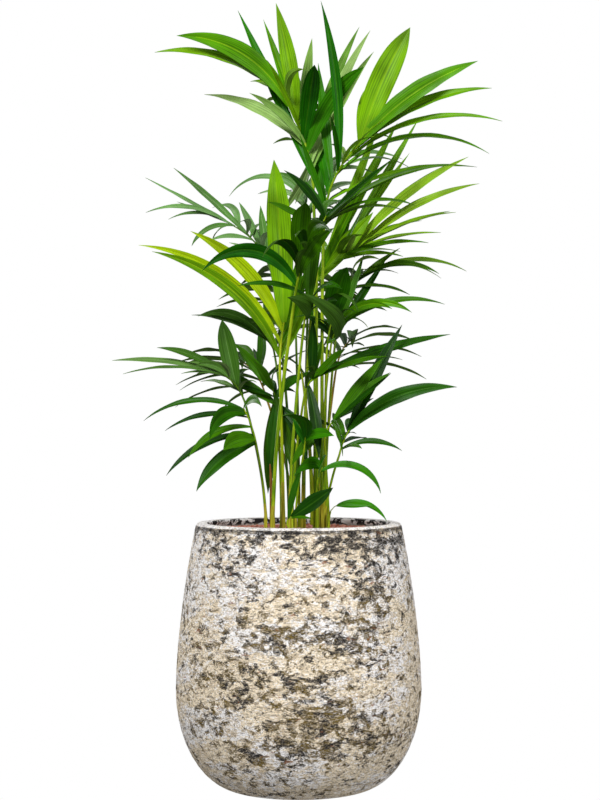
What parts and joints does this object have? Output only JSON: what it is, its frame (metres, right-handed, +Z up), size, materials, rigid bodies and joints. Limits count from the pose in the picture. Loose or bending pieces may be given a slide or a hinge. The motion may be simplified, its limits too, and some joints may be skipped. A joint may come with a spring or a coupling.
{
  "type": "potted kentia palm",
  "caption": "Young kentia palm with many slender stalks and arching feathered fronds, standing in a tall rounded cement planter topped with clay granules",
  "frame": {"origin": "centre of the planter's flat underside", "axes": "+Z up along the planter's axis, -Y towards the side seen first, +X to the right of it"},
  "size_m": [0.5532, 0.6413, 1.1472],
  "materials": {
    "cement": "rough cement with worn charcoal and cream streaks",
    "clay_granules": "loose baked clay granules, matt",
    "sheath": "fibrous green sheath, satin",
    "stalk": "smooth green stalk, satin",
    "leaf_fresh": "fresh green leaf, satin",
    "leaf_bright": "young yellow-green leaf, satin",
    "leaf_deep": "deep green leaf, satin",
    "leaf_dark": "dark green leaf, satin",
    "leaf_pale": "pale underside of a leaf, matt"
  },
  "bodies": {
    "root": {"frond_back_centre": "leaf_dark", "frond_back_left": "leaf_dark", "frond_back_low_left": "leaf_dark", "frond_back_low_right": "leaf_dark", "frond_back_pale": "leaf_pale", "frond_centre_left": "leaf_deep", "frond_centre_small": "leaf_fresh", "frond_folded_dark": "leaf_deep", "frond_foot_leaves": "leaf_deep", "frond_front_dark": "leaf_deep", "frond_front_upright": "leaf_deep", "frond_hooded_small": "leaf_fresh", "frond_left_low": "leaf_deep", "frond_left_reach": "leaf_dark", "frond_mid_left": "leaf_dark", "frond_right_arching": "leaf_deep", "frond_right_broad": "leaf_deep", "frond_right_cup": "leaf_deep", "frond_right_fresh": "leaf_fresh", "frond_right_low": "leaf_deep", "frond_right_mid": "leaf_deep", "frond_right_reach": "leaf_deep", "frond_seedling_right": "leaf_fresh", "frond_top_left": "leaf_fresh", "frond_top_right": "leaf_fresh", "frond_young_bright": "leaf_bright", "pot": "cement", "soil": "clay_granules", "stalk_back_centre": "stalk", "stalk_back_left": "stalk", "stalk_back_low_left": "stalk", "stalk_back_low_right": "stalk", "stalk_back_pale": "stalk", "stalk_centre_left": "stalk", "stalk_centre_small": "stalk", "stalk_folded_dark": "stalk", "stalk_front_dark": "stalk", "stalk_front_upright": "stalk", "stalk_hooded_small": "stalk", "stalk_left_low": "stalk", "stalk_left_reach": "stalk", "stalk_mid_left": "stalk", "stalk_right_arching": "stalk", "stalk_right_broad": "stalk", "stalk_right_cup": "stalk", "stalk_right_fresh": "stalk", "stalk_right_low": "stalk", "stalk_right_mid": "stalk", "stalk_right_reach": "stalk", "stalk_top_left": "stalk", "stalk_top_right": "stalk", "stalk_young_bright": "stalk", "stem_back": "sheath", "stem_centre": "sheath", "stem_left": "sheath", "stem_middle": "sheath", "stem_rear": "sheath", "stem_right": "sheath", "stem_right_front": "sheath"}
  },
  "joints": []
}
